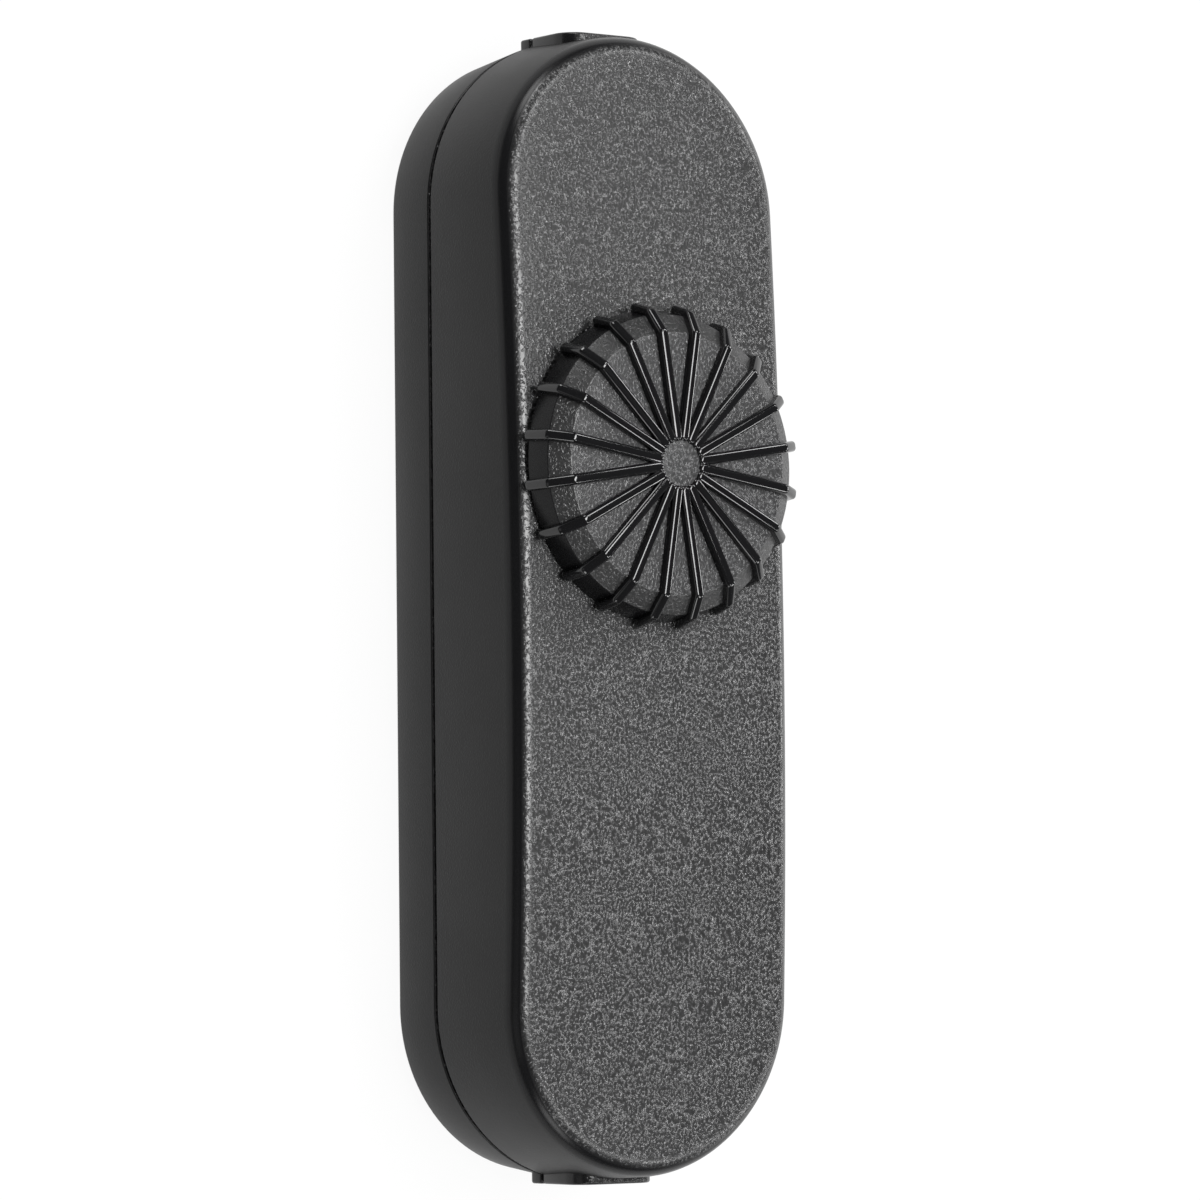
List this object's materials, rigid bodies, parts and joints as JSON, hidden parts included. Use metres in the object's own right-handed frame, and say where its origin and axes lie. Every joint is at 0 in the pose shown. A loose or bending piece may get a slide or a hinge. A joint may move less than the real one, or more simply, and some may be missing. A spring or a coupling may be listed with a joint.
{
  "type": "rotary cord dimmer",
  "caption": "Slim obround in-line dimmer for a lamp cord: two drafted shells with a cord inlet at each end and a flat ribbed knob on the crowned face.",
  "frame": {"origin": "centre of the flat back on the resting surface", "axes": "+Z out of the back through the knob, +Y along the body towards the end that the knob is nearer to, +X across the body"},
  "size_m": [0.032, 0.105, 0.0236],
  "materials": {
    "body_plastic": "fine spark-eroded grain, coarser on the crowned face",
    "knob_plastic": "satin black with glossy ribs",
    "steel": "zinc plated",
    "shaft_plastic": "natural moulded",
    "tinned_steel": "tin plated",
    "phenolic": "brown phenolic sheet",
    "tinned_brass": "tin plated brass",
    "black_moulding": "black moulding compound",
    "board": "bare laminate",
    "aluminium": "mill finish",
    "ferrite": "sintered",
    "copper": "enamelled copper wire",
    "capacitor_case": "yellow moulded box",
    "component_glass": "glass bead",
    "resistor_coat": "lacquered",
    "fuse_ceramic": "unglazed",
    "terminal_plastic": "natural moulded",
    "brass": "machined",
    "clamp_plastic": "moulded"
  },
  "bodies": {
    "case": {"front_housing": "body_plastic", "rear_cover": "body_plastic", "housing_screws": "steel", "clamp_screws": "steel", "terminal_screws": "steel", "heat_sink_screw": "steel", "heat_sink_nut": "steel", "pot_can": "tinned_steel", "pot_bush": "tinned_steel", "pot_wafer": "phenolic", "pot_lugs": "tinned_brass", "pot_switch": "black_moulding", "switch_tags": "tinned_brass", "circuit_board": "board", "triac": "black_moulding", "heat_sink": "aluminium", "choke_core": "ferrite", "choke_winding": "copper", "film_capacitor": "capacitor_case", "timing_capacitor": "capacitor_case", "diac": "component_glass", "resistors": "resistor_coat", "fuse_tube": "fuse_ceramic", "fuse_caps": "tinned_brass", "fuse_clips": "tinned_brass", "terminal_block_near": "terminal_plastic", "terminal_block_far": "terminal_plastic", "terminal_cages": "brass", "link_wires": "copper", "cord_clamp_near": "clamp_plastic", "cord_clamp_far": "clamp_plastic"},
    "dial": {"knob": "knob_plastic", "pot_shaft": "shaft_plastic", "pot_rotor": "shaft_plastic"}
  },
  "joints": [
    {"name": "knob_turn", "type": "hinge", "parent": "case", "child": "dial", "pos_m": [0, 0.0122, 0.019], "axis": [0, 0, 1], "range_deg": [-300, 0]}
  ]
}
